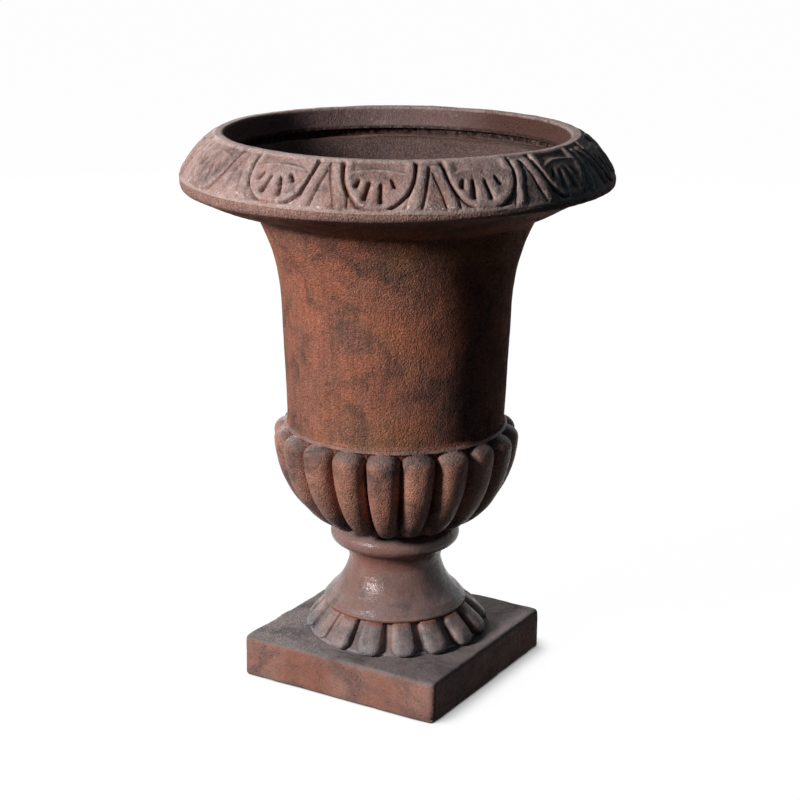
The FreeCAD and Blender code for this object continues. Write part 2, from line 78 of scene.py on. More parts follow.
# Plinth
PLINTH_HALF = reach("plinth")
PLINTH_CORNER = 6.5
PLINTH_EDGE = 4.0
PLINTH_CHIP = 10.0
PLINTH_CHIP_DEPTH = 3.0
PLINTH_WEAR = 1.4
PLINTH_WEAR_LUMP = 15.0
PLINTH_SKIN_DROP = 0.5
PLINTH_WALL = 18.0
PLINTH_ROOF = 16.0
PLINTH_HOLE = 70.6
PLINTH_BED = (75.0, 86.0)

# Foot ring
FOOT_BORE = 56.0
FOOT_SPIGOT = 70.0
FOOT_SPIGOT_DEPTH = 12.0
FOOT_BASE = 96.0
FOOT_BASE_EDGE = 4.0
FOOT_SLOPE_TOP = 74.0
FOOT_BED = (61.0, 69.0)
PETALS = 16
PETAL_PHASE = 14.5
PETAL_RELIEF = 8.5
PETAL_SINK = 2.5
PETAL_HALF_SHARE = 0.74
PETAL_TIP = 5.0
PETAL_CORNER = 8.0
PETAL_WEAR_SHARE = 0.55
PETAL_FULLNESS = 3
PETAL_SIZE_SHARES = (0.88, 1.06)
PETAL_STRAY_SHARE = 0.06
PETAL_SWELL_SHARES = ((0, 0.35, 1), (1.0, 1.0, 0.6))
PETAL_SINK_RUN = 4.0
PETAL_STEPS = 44

# Socle
TONGUE_INNER = 45.4
TONGUE_OUTER = 55.4
TONGUE_DEPTH = 10.0
SOCLE_BASE = 79.0
SOCLE_BASE_EDGE = 4.0
SOCLE_BEVEL = 1.0
SKIRT = (73.0, 10.5)
WAIST = (50.8, 49.0)
TRUMPET_BEND = 66.0
NECK = (55.5, 64.0)
NECK_BEND = 26.0
COLLAR_INNER = 60.7
COLLAR_ROLL = 10.5
SOCKET = 28.6
SOCKET_DEPTH = 38.0
THROAT_RISE = 20.0
SOCLE_COLUMNS = 320

# Bowl
DRAIN = 12.0
SPIGOT = 28.0
SPIGOT_LENGTH = 28.0
BOWL_FOOT = 62.0
BOWL_TURN = (66.0, 7.0)
BOWL_SHOULDER = 121.0
SHOULDER_DROP = 12.0
BOWL_BEND = 118.0
BEAD = 119.2
BEAD_DROP = 3.0
BOWL_MOUTH = 109.0
MOUTH_DEPTH = 15.0
HOLLOW_BEND = 106.0
FLOOR_EDGE = (44.0, 20.0)
FLOOR_FALL_SHARE = 0.09
DRUM_BED = (111.4, 115.4)
LOBES = 20
LOBE_PHASE = 6.9
LOBE_RELIEF = 12.6
LOBE_SINK = 8.0
LOBE_HALF_SHARE = 0.96
LOBE_FULLNESS = 2.7
LOBE_WEAR_SHARE = 0.6
LOBE_TAPER = 52.0
LOBE_TAPER_SHARE = 0.7
LOBE_FOOT = 11.0
LOBE_HEAD = 13.0
LOBE_HEAD_DROP = 0.5
LOBE_SIZE_SHARES = (0.96, 1.04)
LOBE_STEPS = 36

# Drum
DRUM_BORE = 103.0
DRUM_TONGUE = 108.4
DRUM_TONGUE_DEPTH = 10.0
DRUM_FOOT = 117.0
DRUM_FOOT_CURL = ((1.9, 0.0), (1.5, 1.2), (0.5, 4.0))
FLARE = (123.2, 151.0)
FLARE_BEND = 209.0
DRUM_NECK = (149.0, 62.0)
COVE_START = (1.9, 3.5)
COVE_END = (3.7, 1.6)
COVE_BEND = 12.0
DRUM_WALL = 14.0
FUNNEL_BEND = 250.0
FLANGE = reach("drum")
FLANGE_ROLL = 7.0
FLANGE_ROLL_START = (6.5, 9.0)
FLANGE_EDGE = 3.0
FLANGE_CHAMFER = 0.3
UNDERSIDE_SWELL = 4.4
UNDERSIDE_SIDE = -149.0
UNDERSIDE_FLAT_SHARE = 0.6
RIM_BED = (203.0, 216.0)
LEDGE_STEP = 196.0
LEDGE_INNER = 170.0
LEDGE_ROUND = 4.0
LEDGE_SKIN = 2
DRUM_INNER_STEP = 3
DRUM_COLUMNS = 400
JOINT_DEPTH = 9.0
JOINT_UNDERCUT = 8.0

# Rim
RIM_STEP = 196.6
RIM_FOOT = 179.5
RIM_INNER = 181.0
LIP_ROUND = 3.0
LIP_OUTER = 190.0
RIM_WALL_SKIN = 1.5
FRIEZE_EDGE = 1.5
FRIEZE_BEND = 90.0
FRIEZE_UNITS = 13
FRIEZE_PHASE = 19.2
FRIEZE_STEPS = 96
FRIEZE_STEP = 1.0
LIP_STEP = 0.8

# Side whose ornament is worn flatter, as an angle from +X
WORN_SIDE = -144.0

NOISE_TABLE = 4096
NOISE_PRIMES = np.array([73856093, 19349663, 83492791])


def noise(points, size, seed):
    """Smooth random field from -1 to 1 with lumps of the given size, the same on every run."""
    table = np.random.default_rng(seed).uniform(-1, 1, NOISE_TABLE)
    cell = points / size
    low = np.floor(cell).astype(np.int64)
    part = cell - low
    part = part * part * (3 - 2 * part)
    field = np.zeros(points.shape[:-1])
    for corner in np.ndindex(2, 2, 2):
        key = (low + np.array(corner)) * NOISE_PRIMES
        value = table[(key[..., 0] ^ key[..., 1] ^ key[..., 2]) % NOISE_TABLE]
        field += value * np.where(np.array(corner), part, 1 - part).prod(axis=-1)
    return field


def step_up(value, low, high):
    """0 below low, 1 above high, smooth between; low above high turns it round."""
    share = np.clip((value - low) / (high - low), 0, 1)
    return share * share * (3 - 2 * share)


class Outline:
    """Cross-section of a turned piece, walked with the clay on the left hand.

    A stretch has a step, and a skin: 1 where the clay shows and is uneven, 0 where the piece is a
    seat for another. Stretches that share a name make up one span, which can carry relief.
    """

    def __init__(self, radius, height):
        self.points = [np.array([[radius, height]], float)]
        self.skins = []
        self.names = []

    def _add(self, points, skin, name):
        self.points.append(points)
        self.skins += [skin] * len(points)
        self.names += [name] * len(points)

    def line(self, radius, height, step=COARSE, skin=1, name=""):
        start = self.points[-1][-1]
        run = np.array([radius, height]) - start
        count = max(1, math.ceil(np.linalg.norm(run) / step))
        shares = np.arange(1, count + 1)[:, None] / count
        self._add(start + run * shares, skin, name)
        return self

    def arc(self, radius, height, bend, step=COARSE, skin=1, name=""):
        """Minor arc that bends to the left on its way, or to the right with a negative bend."""
        start = self.points[-1][-1]
        run = np.array([radius, height]) - start
        length = np.linalg.norm(run)
        left = np.array([-run[1], run[0]]) / length
        depth = math.sqrt(max(0, bend ** 2 - length ** 2 / 4))
        centre = start + run / 2 + left * math.copysign(depth, bend)
        turn = 2 * math.copysign(math.asin(min(1, length / 2 / abs(bend))), bend)
        count = max(2, math.ceil(abs(turn * bend) / step))
        first = math.atan2(*(start - centre)[::-1])
        angles = first + turn * np.arange(1, count + 1) / count
        points = centre + abs(bend) * np.stack([np.cos(angles), np.sin(angles)], axis=-1)
        self._add(points, skin, name)
        return self

    def close(self):
        """Settles the walk, which has come back to its start."""
        self.points = np.concatenate(self.points)[1:]
        skins = np.array(self.skins, float)
        self.skins = np.minimum(skins, np.roll(skins, -1))
        run = np.roll(self.points, -1, axis=0) - np.roll(self.points, 1, axis=0)
        run /= np.linalg.norm(run, axis=1, keepdims=True)
        self.normals = np.stack([run[:, 1], -run[:, 0]], axis=-1)
        return self

    def span(self, name):
        """Rows of a named span, and their distances along it."""
        rows = np.array([index for index, other in enumerate(self.names) if other == name])
        steps = np.linalg.norm(np.diff(self.points[rows], axis=0), axis=1)
        return rows, np.concatenate([[0], np.cumsum(steps)])


def even_angles(count):
    return np.arange(count) * 360 / count


def ribbed_angles(ribs, phase, steps):
    """Angles that crowd towards the grooves between evenly spaced ribs."""
    across = np.sin((np.arange(steps) / steps - 0.5) * math.pi) * 180 / ribs
    return (phase + np.arange(ribs)[:, None] * 360 / ribs + across).ravel()


# Height and size of the lumps in the hand-made skin, from the largest down
SKIN_LUMPS = ((0.55, 85), (0.30, 26), (0.16, 9), (0.08, 4))


def uneven(points, seed):
    """Hand-made unevenness of the clay, in millimetres."""
    return sum(height * noise(points, size, seed + index) for index, (height, size) in enumerate(SKIN_LUMPS))


def turned(outline, angles, lift, seed):
    """Grid of an outline turned about the upright axis, raised by lift along its normals."""
    turns = np.radians(angles)
    ways = np.stack([np.cos(turns), np.sin(turns)], axis=-1)

    def grid(section):
        flat = section[..., :1] * ways
        return np.concatenate([flat, np.broadcast_to(section[..., 1:], flat[..., :1].shape)], axis=-1)

    plain = np.broadcast_to(outline.points[:, None, :], (*lift.shape, 2))
    lift = lift + outline.skins[:, None] * uneven(grid(plain), seed)
    return grid(plain + lift[..., None] * outline.normals[:, None, :])


def grid_normals(points):
    down = np.roll(points, -1, axis=0) - np.roll(points, 1, axis=0)
    across = np.roll(points, -1, axis=1) - np.roll(points, 1, axis=1)
    normals = np.cross(across, down)
    return normals / np.maximum(np.linalg.norm(normals, axis=-1, keepdims=True), 1e-9)


def prominence(points, passes):
    """How far each point stands out of its surroundings: above 0 on edges, below 0 in grooves."""
    smooth = points
    for _ in range(passes):
        smooth = (2 * smooth + np.roll(smooth, 1, axis=0) + np.roll(smooth, -1, axis=0)
                  + np.roll(smooth, 1, axis=1) + np.roll(smooth, -1, axis=1)) / 6
    return ((points - smooth) * grid_normals(points)).sum(axis=-1)


# Edges sharper than this many degrees are shaded as edges
SHARP_EDGE = 60
# Smoothing passes that tell fine edges, and broad forms, from their surroundings
PROMINENCES = (("edge", 4), ("form", 40))


def ring_piece(name, points, body, replaced, material):
    """Closed mesh of a grid that joins up both ways round, riding on its body."""
    rows, columns = points.shape[:2]
    index = np.arange(rows * columns).reshape(rows, columns)
    below = np.roll(index, -1, axis=0)
    faces = np.stack([index, np.roll(index, -1, axis=1), np.roll(below, -1, axis=1), below], axis=-1)
    mesh = bpy.data.meshes.new(name)
    mesh.vertices.add(index.size)
    mesh.vertices.foreach_set("co", (points * MM).astype(np.float32).ravel())
    mesh.loops.add(faces.size)
    mesh.loops.foreach_set("vertex_index", faces.astype(np.int32).ravel())
    mesh.polygons.add(index.size)
    mesh.polygons.foreach_set("loop_start", np.arange(0, faces.size, 4, dtype=np.int32))
    mesh.update(calc_edges=True)
    mesh.shade_smooth()
    mesh.set_sharp_from_angle(angle=math.radians(SHARP_EDGE))
    for label, passes in PROMINENCES:
        values = mesh.attributes.new(label, "FLOAT", "POINT")
        values.data.foreach_set("value", prominence(points, passes).astype(np.float32).ravel())
    mesh.materials.append(material)
    piece = bpy.data.objects.new(name, mesh)
    bpy.context.scene.collection.objects.link(piece)
    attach(piece, body)
    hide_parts(replaced)
    return piece


def node(tree, kind, inputs=None, **settings):
    """New shader node; an input is linked where it is given a socket, and set otherwise."""
    made = tree.nodes.new(kind)
    for name, value in settings.items():
        setattr(made, name, value)
    for name, value in (inputs or {}).items():
        if isinstance(value, bpy.types.NodeSocket):
            tree.links.new(value, made.inputs[name])
        else:
            made.inputs[name].default_value = value
    return made


def sums(tree, operation, first, second):
    return node(tree, "ShaderNodeMath", {0: first, 1: second}, operation=operation).outputs[0]


def between(tree, value, low, high, least=0.0, most=1.0):
    """Smooth step of a value from least to most."""
    inputs = {"Value": value, "From Min": low, "From Max": high, "To Min": least, "To Max": most}
    return node(tree, "ShaderNodeMapRange", inputs, interpolation_type="SMOOTHSTEP").outputs["Result"]


def tone(red, green, blue):
    """Linear colour of a shade as it looks on a screen, 0 to 255."""
    shares = np.array([red, green, blue]) / 255
    linear = np.where(shares <= 0.04045, shares / 12.92, ((shares + 0.055) / 1.055) ** 2.4)
    return (*(float(share) for share in linear), 1.0)


class Paint:
    """One material, with short names for the nodes that it is made of."""

    def __init__(self, name):
        self.material = bpy.data.materials.new(name)
        self.material.use_nodes = True
        self.tree = self.material.node_tree
        self.shader = self.tree.nodes["Principled BSDF"]
        coordinates = node(self.tree, "ShaderNodeTexCoord").outputs
        self.place = coordinates["Object"]
        self.normal = coordinates["Normal"]

    def attribute(self, name):
        return node(self.tree, "ShaderNodeAttribute", attribute_name=name).outputs["Fac"]

    def cloud(self, size, detail=3, rough=0.55, distortion=0.0, place=None):
        """Noise with lumps of the given size in millimetres, about 0 to 1."""
        inputs = {"Vector": place or self.place, "Scale": 1 / (size * MM), "Detail": detail,
                  "Roughness": rough, "Distortion": distortion}
        return node(self.tree, "ShaderNodeTexNoise", inputs).outputs["Fac"]

    def cells(self, size):
        """Distance from the middle of the nearest of many small cells, as a share of their size."""
        inputs = {"Vector": self.place, "Scale": 1 / (size * MM)}
        return node(self.tree, "ShaderNodeTexVoronoi", inputs).outputs["Distance"]

    def towards(self, side):
        """How far a place lies towards a side, given as an angle from +X, in metres."""
        way = (math.cos(math.radians(side)), math.sin(math.radians(side)), 0)
        return self.dot(self.place, way)

    def drawn_out(self, share):
        """Coordinates that draw a texture out along the upright axis."""
        inputs = {"Vector": self.place, "Scale": (1, 1, share)}
        return node(self.tree, "ShaderNodeMapping", inputs).outputs["Vector"]

    def split(self, vector):
        return node(self.tree, "ShaderNodeSeparateXYZ", {0: vector}).outputs

    def between(self, value, low, high, least=0.0, most=1.0):
        return between(self.tree, value, low, high, least, most)

    def times(self, first, second):
        return sums(self.tree, "MULTIPLY", first, second)

    def plus(self, first, second):
        return sums(self.tree, "ADD", first, second)

    def mix(self, share, first, second, blend="MIX"):
        inputs = {0: share, 6: first, 7: second}
        return node(self.tree, "ShaderNodeMix", inputs, data_type="RGBA", blend_type=blend).outputs[2]

    def dot(self, first, second):
        product = node(self.tree, "ShaderNodeVectorMath", {0: first, 1: second}, operation="DOT_PRODUCT")
        return product.outputs["Value"]

    def grey(self, value):
        return node(self.tree, "ShaderNodeCombineColor", {0: value, 1: value, 2: value}).outputs[0]

    def inside(self):
        """1 on faces that look towards the upright axis."""
        flat = node(self.tree, "ShaderNodeVectorMath", {0: self.place, 1: (1, 1, 0)}, operation="MULTIPLY")
        return self.between(self.dot(flat.outputs[0], self.normal), -0.01, -0.05)

    def near_height(self, height, reach):
        """1 at a height in millimetres, 0 beyond the reach above and below it."""
        away = sums(self.tree, "ABSOLUTE", self.plus(self.split(self.place)["Z"], -height * MM), 0.0)
        return self.between(away, reach * MM, 0.3 * reach * MM)

    def ring(self, height, reach, share, fleck):
        """Patchy ring round the piece at a height, as strong as its share where the flecks are."""
        return self.times(self.near_height(height, reach), self.between(fleck, 0.3, 0.6, 0.3 * share, share))

    def finish(self, colour, roughness, height, depth, specular):
        bump = node(self.tree, "ShaderNodeBump", {"Height": height, "Strength": 1.0, "Distance": depth * MM})
        self.tree.links.new(bump.outputs["Normal"], self.shader.inputs["Normal"])
        self.tree.links.new(colour, self.shader.inputs["Base Color"])
        self.tree.links.new(roughness, self.shader.inputs["Roughness"])
        self.shader.inputs["Specular IOR Level"].default_value = specular
        return self.material


# Sizes in the finish, in millimetres: broad changes of colour, stains, flecks, grains, pits darkened as
# painted shade, and specks and chip spots that are partly painted glints
BROAD_PATCH = 75
OCHRE_PATCH = 90
STAIN_PATCH = 42
PALE_PATCH = 22
FLECK = 6
CHIP_AND_GLINT_SPOT = 5
PIT = 5
STREAK = 4
GRAIN = 1.8
SAND_GRAIN = 1.6
SPECK_AND_GLINT = 1.5
# How much streaks are drawn out upwards, and pale patches round the wall
STREAK_STRETCH = 0.08
PALE_STRETCH = 2.5
# Height over which the crown's tone comes in, and the way over which the painted shade on one inner side does
CROWN_FADE = 12
INNER_SIDE_SHADE_FADE = (40, 120)
# Painted shade in the small pits
PIT_SHADE = tone(30, 24, 22)


def clay(name, rust, deep, patina, bloom, hollow, patina_share=0.6, bloom_share=0.6, dust_share=0.4,
         streak_share=0.0, speck_and_glint=None, ochre=None, inner=None, crown=None, dark_foot=None, seams=(),
         inner_joint_dirt_and_shade=(), inner_side_shade=None, chips_and_glints=None, sand=0.3, relief=1.2, specular=0.02, sheen=0.6):
    """Fibre clay in a rust finish: dark patina in patches, grey bloom on what stands out or faces up.

    Seams are rings of another tone, given by height, reach, tone and share; the rings of inner joint dirt and
    shade, the painted shade on one inner side and the inner tone show only on faces that look inwards. The
    hollow tone darkens grooves as painted shade where it is SHADE; bright specks are partly painted glints,
    pale chips partly painted highlights, and pits are darkened as painted shade.
    """
    paint = Paint(name)
    broad = paint.cloud(BROAD_PATCH, 4, 0.6)
    blotch = paint.cloud(STAIN_PATCH, 6, 0.6, 0.6)
    fleck = paint.cloud(FLECK, 4, 0.65)
    grain = paint.cloud(GRAIN, 3, 0.7)
    streak = paint.cloud(STREAK, 3, 0.65, place=paint.drawn_out(STREAK_STRETCH))
    form = paint.plus(paint.attribute("form"), paint.between(fleck, 0.2, 0.8, -0.8, 0.8))
    edge = paint.plus(paint.attribute("edge"), paint.between(fleck, 0.2, 0.8, -0.22, 0.22))
    up = paint.split(paint.normal)["Z"]
    height_above = paint.split(paint.place)["Z"]

    colour = paint.mix(paint.between(broad, 0.36, 0.64), deep, rust)
    if ochre:
        share = paint.between(paint.cloud(OCHRE_PATCH, 3, 0.5), 0.52, 0.7, 0.0, 0.6)
        colour = paint.mix(share, colour, ochre)
    stain = paint.times(paint.between(blotch, 0.42, 0.7), paint.between(fleck, 0.3, 0.62, 0.7, 1.0))
    colour = paint.mix(paint.times(stain, patina_share), colour, patina)
    if dark_foot:
        low, high = dark_foot
        share = paint.times(paint.between(height_above, high * MM, low * MM),
                            paint.between(blotch, 0.36, 0.6, 0.3, 0.9))
        colour = paint.mix(share, colour, patina)
    if crown:
        level, tint = crown
        share = paint.between(height_above, level * MM, (level + CROWN_FADE) * MM, 0.0, 0.85)
        colour = paint.mix(share, colour, tint)
    dust = paint.times(paint.between(up, 0.1, 0.9, 0.0, dust_share),
                       paint.between(fleck, 0.25, 0.6, 0.7, 1.0))
    dusty = paint.mix(paint.between(blotch, 0.42, 0.66, 0.0, 0.75), bloom, patina)
    colour = paint.mix(dust, colour, dusty)
    colour = paint.mix(paint.between(form, 0.1, 1.6, 0.0, bloom_share), colour, bloom)
    # Grooves and hollows take the hollow tone: painted shade where it is SHADE (plinth, bowl, drum), dark
    # patina on the rim, rust in the foot's gaps
    colour = paint.mix(paint.between(form, -0.5, -2.4, 0.0, 0.8), colour, hollow)
    colour = paint.mix(paint.between(edge, 0.16, 0.5, 0.0, 0.4), colour, bloom)
    if inner:
        within = paint.inside()
        share = paint.times(within, paint.between(blotch, 0.35, 0.65, 0.95, 0.75))
        colour = paint.mix(share, colour, inner)
        patch = paint.cloud(PALE_PATCH, 6, 0.7, place=paint.drawn_out(PALE_STRETCH))
        colour = paint.mix(paint.times(within, paint.between(patch, 0.58, 0.7, 0.0, 0.5)), colour, bloom)
    # Painted shade: inner faces towards one side darken, fading in over a set way
    if inner_side_shade:
        side, tint = inner_side_shade
        start, full = INNER_SIDE_SHADE_FADE
        share = paint.between(paint.towards(side), start * MM, full * MM, 0.0, 0.95)
        colour = paint.mix(paint.times(within, share), colour, tint)
    for level, reach, tint, share in seams:
        colour = paint.mix(paint.ring(level, reach, share, fleck), colour, tint)
    # Dark rings at the joint on inner faces: painted shade in the drum's joint gap, dirt and painted shade at
    # the foot of the rim's inner wall
    for level, reach, tint, share in inner_joint_dirt_and_shade:
        colour = paint.mix(paint.times(paint.ring(level, reach, share, fleck), within), colour, tint)
    sandy = paint.plus(paint.between(grain, 0.3, 0.7, -sand, sand), 1.0)
    drawn = paint.between(streak, 0.3, 0.7, 1 + streak_share, 1 - streak_share)
    colour = paint.mix(1.0, colour, paint.grey(paint.times(sandy, drawn)), "MULTIPLY")
    # Bright specks: pale sand grains and painted glints on the lit grain
    if speck_and_glint:
        colour = paint.mix(paint.between(paint.cloud(SPECK_AND_GLINT, 2, 0.5), 0.64, 0.72, 0.0, 0.7), colour, speck_and_glint)
    # Pale spots along the rim's foot: worn chips and painted highlights
    if chips_and_glints:
        level, reach, tint = chips_and_glints
        spots = paint.between(paint.cloud(CHIP_AND_GLINT_SPOT, 4, 0.6), 0.58, 0.68, 0.0, 0.9)
        colour = paint.mix(paint.times(paint.near_height(level, reach), spots), colour, tint)

    # Small pits: darkened as painted shade in the holes, and dented in the bump
    hole = paint.between(paint.cells(PIT), 0.2, 0.08)
    pits = paint.times(hole, paint.between(blotch, 0.5, 0.62))
    colour = paint.mix(paint.times(pits, 0.6), colour, PIT_SHADE)
    height = paint.plus(paint.times(grain, sand), paint.times(paint.cells(SAND_GRAIN), -1.3 * sand))
    height = paint.plus(height, paint.plus(paint.times(fleck, 0.8), paint.times(pits, -0.6)))
    worn_spots = paint.plus(fleck, paint.times(blotch, 0.5))
    roughness = paint.between(worn_spots, 0.5, 1.0, sheen - 0.08, sheen + 0.2)
    return paint.finish(colour, roughness, height, relief, specular)


def plain_material(name, light, dark, size, roughness):
    """Fine-grained material of the hidden rings."""
    paint = Paint(name)
    grain = paint.cloud(size, 4, 0.6)
    colour = paint.mix(paint.between(grain, 0.35, 0.65), dark, light)
    return paint.finish(colour, paint.between(grain, 0.3, 0.7, roughness - 0.1, roughness), grain, 0.3, 0.3)


# Tones of each piece: main rust, deeper rust, patina, bloom and hollows (painted shade where SHADE is given),
# then its own marks
SLATE = tone(76, 71, 73)
# Painted shade for grooves and hollows
SHADE = tone(40, 30, 28)
RUST_SEAM = tone(132, 74, 56)
PLINTH_CLAY = clay("plinth_clay", tone(166, 122, 108), tone(150, 102, 87), SLATE, tone(126, 118, 117), SHADE,
                   patina_share=0.65, bloom_share=0.3, dust_share=0.97, sand=0.16, specular=0.02, sheen=0.4)
FOOT_CLAY = clay("foot_clay", tone(152, 126, 119), tone(148, 104, 91), tone(72, 71, 76), tone(154, 144, 142),
                 tone(148, 104, 91), patina_share=1.0, bloom_share=0.4, dust_share=0.5, sand=0.18,
                 dark_foot=(PLINTH_TOP + 2, PLINTH_TOP + 20), seams=[(FOOT_TOP, 4.5, RUST_SEAM, 0.85)],
                 specular=0.1, sheen=0.22)
SOCLE_CLAY = clay("socle_clay", tone(146, 116, 109), tone(130, 90, 79), tone(70, 65, 68), tone(140, 129, 127),
                  RUST_SEAM, patina_share=0.95, bloom_share=0.4, dust_share=0.4, sand=0.16, relief=0.7,
                  seams=[(FOOT_TOP, 5, RUST_SEAM, 0.9), (FOOT_TOP + 60, 18, tone(146, 90, 72), 0.6),
                         (SOCLE_TOP - COLLAR_ROLL, 14, tone(128, 86, 75), 0.6)],
                  specular=0.2, sheen=0.2)
BOWL_CLAY = clay("bowl_clay", tone(188, 127, 105), tone(154, 106, 89), tone(58, 53, 54), tone(122, 112, 110),
                 SHADE, patina_share=1.0, bloom_share=0.1, dust_share=0.75,
                 # bright specks are partly painted glints
                 dark_foot=(BOWL_SEAT + 8, BOWL_SEAT + 60), speck_and_glint=tone(200, 142, 112), sand=0.34, relief=1.5,
                 specular=0.06, sheen=0.28)
DRUM_CLAY = clay("drum_clay", tone(158, 98, 77), tone(140, 95, 81), tone(76, 65, 62), tone(150, 106, 91),
                 # bright specks are partly painted glints
                 SHADE, patina_share=0.78, bloom_share=0.1, streak_share=0.14, speck_and_glint=tone(200, 144, 112),
                 ochre=tone(146, 107, 78), inner=tone(92, 76, 74), crown=(SHELF - 18, tone(148, 119, 111)),
                 # near-black ring: painted shade in the joint gap under the rim
                 inner_joint_dirt_and_shade=[(DRUM_TOP - 3, 8, tone(30, 23, 21), 0.95)], sand=0.42, relief=1.5,
                 specular=0.006, sheen=0.5)
# The rim's inner side towards the camera's right is darkened as painted shade
RIM_CLAY = clay("rim_clay", tone(172, 144, 136), tone(142, 100, 88), SLATE, tone(186, 163, 156),
                tone(80, 63, 58), patina_share=0.65, bloom_share=0.6, dust_share=0.5, inner=tone(120, 99, 96),
                seams=[(RIM_TOP, 4, tone(190, 166, 159), 0.6)],
                # joint ring on the inner wall: dirt and painted shade
                inner_joint_dirt_and_shade=[(DRUM_TOP, 5, tone(56, 43, 40), 0.9)], inner_side_shade=(31, tone(84, 58, 52)),
                # pale chips: worn spots and painted highlights
                chips_and_glints=(SHELF + 6, 4, tone(226, 208, 202)), sand=0.24, relief=1.5, specular=0.006, sheen=0.5)
MORTAR = plain_material("mortar", tone(160, 146, 136), tone(124, 110, 102), 2.5, 0.95)
RUBBER = plain_material("rubber", tone(58, 56, 55), tone(40, 38, 38), 1.5, 0.7)


def square_ring(half, corner, shares):
    """Rounded square, (x, y) at each share of the way round; sides and corners keep their shares."""
    quarter = shares * 4 % 1
    side = np.clip(quarter / SQUARE_SIDE_SHARE, 0, 1)
    bend = np.clip((quarter - SQUARE_SIDE_SHARE) / (1 - SQUARE_SIDE_SHARE), 0, 1) * math.pi / 2
    straight = half - corner
    across = straight + corner * np.cos(bend)
    along = straight * (2 * side - 1) + corner * np.sin(bend)
    turn = np.floor(shares * 4) * math.pi / 2
    return np.stack([across * np.cos(turn) - along * np.sin(turn),
                     across * np.sin(turn) + along * np.cos(turn)], axis=-1)


SQUARE_SIDE_SHARE = 0.9
PLINTH_COLUMNS = 520
ROOF_STEP_SHARE = 0.2
TOP_STEP_SHARE = 0.045
EDGE_STEP = 15


def build_plinth():
    """Square slab, hollow from below, with the seat of the foot ring on top."""
    shares = np.arange(PLINTH_COLUMNS) / PLINTH_COLUMNS
    rim = square_ring(PLINTH_HALF, PLINTH_CORNER, shares)
    ways = rim / np.linalg.norm(rim, axis=-1, keepdims=True)
    rows = []
    skins = []

    def add(flat, height, skin):
        rows.append(np.concatenate([flat, np.full((PLINTH_COLUMNS, 1), height)], axis=-1))
        skins.append(skin)

    def square(inset, height, skin=1):
        add(square_ring(PLINTH_HALF - inset, max(1.0, PLINTH_CORNER - inset), shares), height, skin)

    def steps(low, high, step):
        count = max(1, round(abs(high - low) / step))
        return [low + (high - low) * index / count for index in range(1, count + 1)]

    hollow_top = PLINTH_TOP - PLINTH_ROOF
    add(ways * PLINTH_HOLE, hollow_top, 0)
    hollow = square_ring(PLINTH_HALF - PLINTH_WALL, 1.0, shares)
    for share in steps(0, 1, ROOF_STEP_SHARE):
        add(ways * PLINTH_HOLE * (1 - share) + hollow * share, hollow_top, 0)
    for height in steps(hollow_top, 0, COARSE):
        square(PLINTH_WALL, height, 0)
    for inset in steps(PLINTH_WALL, PLINTH_EDGE, COARSE):
        square(inset, 0, 0)
    bends = [math.radians(angle) for angle in steps(0, 90, EDGE_STEP)]
    for bend in bends:
        square(PLINTH_EDGE * (1 - math.sin(bend)), PLINTH_EDGE * (1 - math.cos(bend)), math.sin(bend))
    for height in steps(PLINTH_EDGE, PLINTH_TOP - PLINTH_EDGE, PLAIN):
        square(0, height)
    for bend in bends:
        square(PLINTH_EDGE * (1 - math.cos(bend)), PLINTH_TOP - PLINTH_EDGE * (1 - math.sin(bend)))
    edge = square_ring(PLINTH_HALF - PLINTH_EDGE, PLINTH_CORNER - PLINTH_EDGE, shares)
    for share in steps(0, 1, TOP_STEP_SHARE):
        add(edge * (1 - share) + ways * FOOT_BASE * share, PLINTH_TOP, 1 - step_up(share, 0.85, 1.0))
    for radius, height in ((PLINTH_BED[1], PLINTH_TOP), (PLINTH_BED[1], PLINTH_TOP - BED_DEPTH),
                           (PLINTH_BED[0], PLINTH_TOP - BED_DEPTH), (PLINTH_BED[0], PLINTH_TOP),
                           (PLINTH_HOLE, PLINTH_TOP)):
        add(ways * radius, height, 0)
    points = np.stack(rows)
    skin = np.array(skins)[:, None]
    lift = skin * (uneven(points, 11) - PLINTH_SKIN_DROP)
    patches = np.clip(noise(points, PLINTH_WEAR_LUMP, 15) + 0.2, 0, None)
    wear = PLINTH_WEAR * np.clip(prominence(points, 10), 0, None) * patches
    chip = np.linalg.norm(points - np.array([PLINTH_HALF, -PLINTH_HALF, 0]), axis=-1) / PLINTH_CHIP
    wear = wear + PLINTH_CHIP_DEPTH * np.exp(-chip ** 2)
    points = points + ((lift - skin * wear)[..., None]) * grid_normals(points)
    ring_piece("plinth_cast", points, "pedestal", "plinth", PLINTH_CLAY)


def rib_rise(across, fullness):
    """Section of a rounded rib: 1 on its crest, 0 in the grooves at across -1 and 1."""
    return np.clip(1 - np.abs(across) ** fullness, 0, 1) ** (1 / fullness)


def rib_places(angles, count, phase):
    """Number of each angle's rib, and its place across that rib from -1 to 1."""
    place = (angles - phase) * count / 360 + 0.5
    return np.floor(place).astype(int) % count, (place % 1) * 2 - 1


def worn(angles):
    """1 on the side whose ornament is worn flatter, 0 elsewhere."""
    return step_up(np.cos(np.radians(angles - WORN_SIDE)), 0.6, 0.86)


